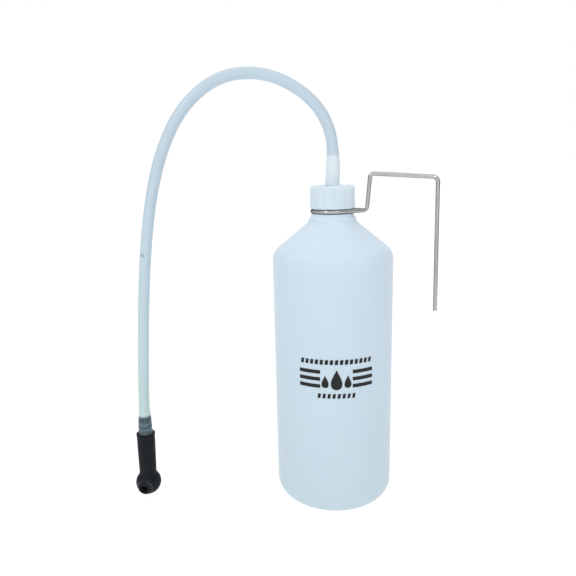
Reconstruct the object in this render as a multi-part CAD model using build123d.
"""Brake-bleeding catch bottle: one-litre bottle, spouted screw cap, hose, rubber nipple adapter, wire hanger.

Millimetres, +Z up. The origin is the centre of the standing ring under the bottle, on its axis.
"""

import os
from math import acos, atan2, cos, hypot, pi, radians, sin, tan

from build123d import *

# Bottle
body_radius = 44.3
wall = 1.5
base_corner_radius = 10.5
push_up = 2.5
push_up_radius = 28.0
shoulder_start = 183.7
shoulder_radius = 13.0
cone_normal = radians(51.0)
bead_radius = 17.3
bead_height = 2.2
collar_radius = 15.4
collar_height = 1.7
neck_radius = 12.6
neck_bore_radius = 10.7
neck_rim = 233.8

# Screw thread: single start, right hand, the same ridge on the neck and inside the cap
thread_pitch = 4.23
thread_turns = 1.5
thread_depth = 1.1
thread_root_width = 1.7
thread_crest_width = 0.8
thread_embed = 0.4
neck_thread_start = 223.4

# Cap, moulded in one with its hose spout
cap_radius = 16.3
cap_bottom = 221.2
cap_height = 16.2
cap_plate = 2.2
cap_bore_radius = 14.2
cap_top_edge = 1.3
cap_foot_edge = 0.5
flute_count = 12
flute_start = 8.0
flute_depth = 0.45
flute_radius = 9.0
flute_top_margin = 2.2
spout_radius = 3.9
spout_tip_radius = 3.1
spout_height = 20.8
spout_straight = 12.6
spout_bore_radius = 2.0

# Sealing liner between the cap and the rim
liner_radius = 13.9
liner_hole_radius = 2.4
liner_gap = 0.05

# Hose: its centre line lies in an upright plane through the bottle's axis, turned towards the front.
# Route points are (distance from the axis, height).
hose_radius = 4.1
hose_bore_radius = 2.9
hose_plane_turn = radians(9.0)
cap_top = cap_bottom + cap_height
hose_route = [
    (0.0, cap_top),
    (-2.0, 263.0),
    (5.4, 287.3),
    (23.7, 305.0),
    (49.0, 315.4),
    (78.4, 312.8),
    (103.3, 293.5),
    (118.9, 266.0),
    (129.0, 233.0),
    (136.0, 192.0),
    (140.5, 148.0),
    (143.5, 108.0),
    (145.6, 77.0),
    (146.0, 53.8),
]
arc_share = 0.45

# Stretched hose ends, as (radius, distance from the hose's end)
spout_sleeve = [(5.2, 0.0), (5.15, 8.0), (4.95, 15.0), (4.4, 21.5), (4.0, 25.0)]
barb_sleeve = [(5.2, 0.0), (5.15, 4.0), (5.0, 10.0), (4.6, 15.0), (4.0, 19.5)]
lead_out_length = 3.0
lead_out_inset = 0.1

# Hose connector: a fluted nose and two rings in the hose, sawtooth barbs in the adapter
barb_crest = 3.85
barb_groove = 3.1
barb_nose = 3.2
nose_length = 15.0
nose_fluted_length = 6.8
ring_count = 2
groove_width = 0.8
flute_groove_count = 12
flute_groove_radius = 0.5
connector_bore_radius = 1.7
tail_barbs = 4
tail_barb_pitch = 4.0
tail_barb_land = 1.2

# Rubber elbow adapter, hung below the hose's end
adapter_gap = 0.15
adapter_lip_radius = 7.1
adapter_lip_height = 1.2
adapter_lip_taper = 1.2
adapter_top_radius = 6.8
adapter_foot_radius = 6.4
adapter_bore_clearance = 0.05
adapter_bore_depth = 16.8
adapter_passage_radius = 2.0
head_radius = 9.6
head_depth = 41.3
head_blend = 2.0
mouth_droop = 11.0
mouth_turn = 4.0
mouth_radius = 5.5
mouth_face = 9.65
mouth_edge = 1.4
mouth_blend = 0.8
mouth_bore_radius = 1.9
mouth_funnel_radius = 3.3
mouth_funnel_depth = 1.6

# Hanger, bent from one round wire: a drop-shaped loop round the neck, a stem, an arm and a leg
wire_radius = 1.5
loop_radius = 14.4
loop_height = 219.35
loop_tip = 21.5
loop_tip_offset = 1.6
loop_end_setback = 0.8
stem_foot = 24.9
stem_lean = radians(5.0)
stem_top = 245.3
arm_fall = radians(4.2)
leg_top = 74.8
leg_lean = radians(0.6)
leg_end = 144.0
foot_bend = 3.2
arm_bend = 3.0
leg_bend = 3.8

# How far a cut runs past the face it opens
overrun = 1.0


def turned(outline):
    """Solid of revolution about the Z axis from a closed outline of (radius, height) points."""
    return revolve(make_face(Polyline(*[(r, 0, z) for r, z in outline], close=True)), Axis.Z)


def rod(radius, low, high):
    """Cylinder about the Z axis between two heights."""
    return Pos(0, 0, low) * Cylinder(radius, high - low, align=(Align.CENTER, Align.CENTER, Align.MIN))


def round_corner(reach, height, radius, first, last):
    """Arc in the XZ plane about (reach, height), between two angles above the horizontal."""
    angles = (first, (first + last) / 2, last)
    return ThreePointArc(*[(reach + radius * cos(a), 0, height + radius * sin(a)) for a in angles])


def bottle_outline(inset, base, neck):
    """Half section of the bottle, set in by a wall thickness: dished base, body, round, cone and neck."""
    corner = base_corner_radius - inset
    turn = shoulder_radius - inset
    dish = TangentArc((0, 0, push_up + base), (push_up_radius, 0, base), tangent=(1, 0, 0))
    heel = round_corner(body_radius - base_corner_radius, base + corner, corner, -pi / 2, 0)
    foot = Line(dish @ 1, heel @ 0)
    shoulder = round_corner(body_radius - shoulder_radius, shoulder_start, turn, 0, cone_normal)
    body = Line(heel @ 1, shoulder @ 0)
    return [dish, foot, heel, body, shoulder] + neck(shoulder @ 1)


def cone_height(start, radius):
    """Height at which the cone that rises from start reaches a radius."""
    return start.Z + (start.X - radius) / tan(cone_normal)


def outer_neck(start):
    bead = cone_height(start, bead_radius)
    slope_top = bead + bead_height + bead_radius - collar_radius
    land = slope_top + collar_height
    path = Polyline(
        start,
        (bead_radius, 0, bead),
        (bead_radius, 0, bead + bead_height),
        (collar_radius, 0, slope_top),
        (collar_radius, 0, land),
        (neck_radius, 0, land),
        (neck_radius, 0, neck_rim),
        (0, 0, neck_rim),
        (0, 0, push_up),
    )
    return [path]


def inner_neck(start):
    path = Polyline(
        start,
        (neck_bore_radius, 0, cone_height(start, neck_bore_radius)),
        (neck_bore_radius, 0, neck_rim + wall),
        (0, 0, neck_rim + wall),
        (0, 0, push_up + wall),
    )
    return [path]


def thread_ridge(radius, start, outward):
    """Helical ridge with a trapezium section on a wall of this radius; outward is +1 or -1."""
    helix = Helix(thread_pitch, thread_pitch * thread_turns, radius, center=(0, 0, start))
    section = Polyline(
        (-outward * thread_embed, -thread_root_width / 2),
        (outward * thread_depth, -thread_crest_width / 2),
        (outward * thread_depth, thread_crest_width / 2),
        (-outward * thread_embed, thread_root_width / 2),
        close=True,
    )
    start_plane = Plane(origin=helix @ 0, x_dir=(1, 0, 0), z_dir=helix % 0)
    return sweep(start_plane * make_face(section), path=helix, is_frenet=True)


def make_bottle():
    outer = revolve(make_face(bottle_outline(0.0, 0.0, outer_neck)), Axis.Z)
    inner = revolve(make_face(bottle_outline(wall, wall, inner_neck)), Axis.Z)
    thread = thread_ridge(neck_radius, neck_thread_start, 1)
    return outer - inner + thread


def spout_outline():
    """The spout's outside, which the hose's end is stretched over."""
    return [
        (0, cap_top),
        (spout_radius, cap_top),
        (spout_radius, cap_top + spout_straight),
        (spout_tip_radius, cap_top + spout_height),
    ]


def make_screw_cap():
    ceiling = cap_top - cap_plate
    tip = cap_top + spout_height
    shell = rod(cap_radius, cap_bottom, cap_top)
    shell = fillet(shell.edges().sort_by(Axis.Z)[-1], cap_top_edge)
    shell = chamfer(shell.edges().sort_by(Axis.Z)[0], cap_foot_edge)
    flute = rod(flute_radius, cap_bottom, cap_top - flute_top_margin)
    around = PolarLocations(cap_radius + flute_radius - flute_depth, flute_count, start_angle=flute_start)
    shell -= around * flute
    shell += turned(spout_outline() + [(0, tip)])
    shell -= rod(cap_bore_radius, cap_bottom, ceiling)
    shell -= rod(spout_bore_radius, ceiling - overrun, tip + overrun)
    return shell + thread_ridge(cap_bore_radius, neck_thread_start + thread_pitch / 2, -1)


def make_cap_liner():
    low = neck_rim + liner_gap
    high = cap_top - cap_plate - liner_gap
    return turned([
        (liner_hole_radius, low),
        (liner_radius, low),
        (liner_radius, high),
        (liner_hole_radius, high),
    ])


def hose_points():
    """Route points in space: the bottle's axis is the plane's edge and the hose falls to the left."""
    left, front = -cos(hose_plane_turn), -sin(hose_plane_turn)
    return [Vector(reach * left, reach * front, height) for reach, height in hose_route]


def arc_radii(points):
    """Radius at each corner, as large as its two runs allow."""
    radii = []
    for before, corner, after in zip(points, points[1:], points[2:]):
        arriving, leaving = corner - before, after - corner
        half_turn = radians(arriving.get_angle(leaving)) / 2
        radii.append(arc_share * min(arriving.length, leaving.length) / tan(half_turn))
    return radii


def end_plane():
    """Plane at the hose's lower end: +Z points back up the hose and +Y to the rear."""
    points = hose_points()
    up = (points[-2] - points[-1]).normalized()
    return Plane(origin=points[-1], x_dir=Vector(0, 1, 0).cross(up), z_dir=up)


def lead_out(height):
    """Short cone that narrows a fitting's room to just inside the hose's bore, from this height up."""
    return [(hose_bore_radius - lead_out_inset, height + lead_out_length), (0, height + lead_out_length)]


def barb_room():
    """Room that the connector's nose stretches inside the hose."""
    ring_top = nose_length - nose_fluted_length
    nose = [(0, -overrun), (barb_crest, -overrun), (barb_crest, ring_top), (barb_nose, nose_length)]
    return end_plane() * turned(nose + lead_out(nose_length))


def spout_room():
    """Room that the spout stretches inside the hose."""
    return turned(spout_outline() + lead_out(cap_top + spout_height))


def make_hose():
    points = hose_points()
    radii = arc_radii(points)
    path = FilletPolyline(*points, radius=radii)
    start = Plane(origin=path @ 0, z_dir=path % 0)
    outside = sweep(start * Circle(hose_radius), path=path)
    inside = sweep(start * Circle(hose_bore_radius), path=path)
    print("hose length", round(path.length, 1), "radii", [round(r) for r in radii])
    print("hose volume ratio", round(outside.volume / (pi * hose_radius**2 * path.length), 4))
    root = Pos(0, 0, cap_top) * turned([(0, 0)] + spout_sleeve + [(0, spout_sleeve[-1][1])])
    cuff = end_plane() * turned([(0, 0)] + barb_sleeve + [(0, barb_sleeve[-1][1])])
    return outside + root + cuff - inside - spout_room() - barb_room()


def make_barbed_connector():
    ring_top = nose_length - nose_fluted_length
    ring_pitch = ring_top / ring_count
    outline = [(connector_bore_radius, nose_length), (barb_nose, nose_length), (barb_crest, ring_top)]
    for number in range(ring_count):
        top = ring_top - number * ring_pitch
        outline += [(barb_groove, top), (barb_groove, top - groove_width)]
        outline += [(barb_crest, top - groove_width), (barb_crest, top - ring_pitch)]
    outline += [(barb_groove, 0)]
    for number in range(tail_barbs):
        top = -number * tail_barb_pitch
        outline += [(barb_groove, top - tail_barb_land), (barb_crest, top - tail_barb_land)]
        outline += [(barb_groove, top - tail_barb_pitch)]
    outline += [(connector_bore_radius, -tail_barbs * tail_barb_pitch)]
    groove = rod(flute_groove_radius, ring_top, nose_length)
    grooves = PolarLocations(barb_crest, flute_groove_count) * groove
    return end_plane() * (turned(outline) - grooves)


def make_nipple_adapter():
    mouth = Pos(0, 0, -head_depth) * Rot(0, 0, -mouth_turn) * Rot(90 + mouth_droop, 0, 0)
    lip_foot = -adapter_gap - adapter_lip_height
    sleeve = turned([
        (0, -adapter_gap),
        (adapter_lip_radius, -adapter_gap),
        (adapter_lip_radius, lip_foot),
        (adapter_top_radius, lip_foot - adapter_lip_taper),
        (adapter_foot_radius, -head_depth),
        (0, -head_depth),
    ])
    head = Sphere(head_radius) + rod(mouth_radius, 0, mouth_face)
    head = fillet(head.edges().sort_by(Axis.Z)[-1], mouth_edge)
    mouth_root = (head_radius**2 - mouth_radius**2) ** 0.5
    root_edge = head.edges().sort_by(lambda edge: abs(edge.center().Z - mouth_root))[0]
    head = fillet(root_edge, mouth_blend)
    body = sleeve + mouth * head
    waist = -head_depth + (head_radius**2 - adapter_foot_radius**2) ** 0.5
    waist_edge = body.edges().sort_by(lambda edge: abs(edge.center().Z - waist))[0]
    body = fillet(waist_edge, head_blend)
    body -= rod(barb_crest + adapter_bore_clearance, -adapter_bore_depth, 0)
    body -= rod(adapter_passage_radius, -head_depth, 0)
    body -= mouth * rod(mouth_bore_radius, 0, mouth_face + overrun)
    body -= mouth * turned([
        (0, mouth_face - mouth_funnel_depth),
        (mouth_bore_radius, mouth_face - mouth_funnel_depth),
        (mouth_funnel_radius, mouth_face),
        (mouth_funnel_radius, mouth_face + overrun),
        (0, mouth_face + overrun),
    ])
    return end_plane() * body


def make_wire_hanger():
    reach = hypot(loop_tip, loop_tip_offset)
    bearing = atan2(loop_tip_offset, loop_tip) + acos(loop_radius / reach)
    touch_x, touch_y = loop_radius * cos(bearing), loop_radius * sin(bearing)
    strand = (reach**2 - loop_radius**2) ** 0.5 - loop_end_setback
    wire_end = (touch_x + strand * sin(bearing), touch_y - strand * cos(bearing), loop_height)
    stem_y = -touch_y + (stem_foot - touch_x) / tan(bearing)
    arm_start = stem_foot + (stem_top - loop_height) * tan(stem_lean)
    arm_end_height = stem_top - (leg_top - arm_start) * tan(arm_fall)
    leg_foot = leg_top + (arm_end_height - leg_end) * tan(leg_lean)
    tail = Line(wire_end, (touch_x, touch_y, loop_height))
    loop = ThreePointArc(tail @ 1, (-loop_radius, 0, loop_height), (touch_x, -touch_y, loop_height))
    hook = FilletPolyline(
        loop @ 1,
        (stem_foot, stem_y, loop_height),
        (arm_start, stem_y, stem_top),
        (leg_top, stem_y, arm_end_height),
        (leg_foot, stem_y, leg_end),
        radius=[foot_bend, arm_bend, leg_bend],
    )
    path = Wire([tail, loop] + hook.edges())
    start = Plane(origin=path @ 0, z_dir=path % 0)
    return sweep(start * Circle(wire_radius), path=path)


nodes = {
    "bottle": make_bottle,
    "screw_cap": make_screw_cap,
    "cap_liner": make_cap_liner,
    "hose": make_hose,
    "barbed_connector": make_barbed_connector,
    "nipple_adapter": make_nipple_adapter,
    "wire_hanger": make_wire_hanger,
}

os.makedirs("parts", exist_ok=True)
for name, make in nodes.items():
    shape = make()
    export_step(shape, f"parts/{name}.step")
    print(name, "volume", round(shape.volume), "solids", len(shape.solids()))
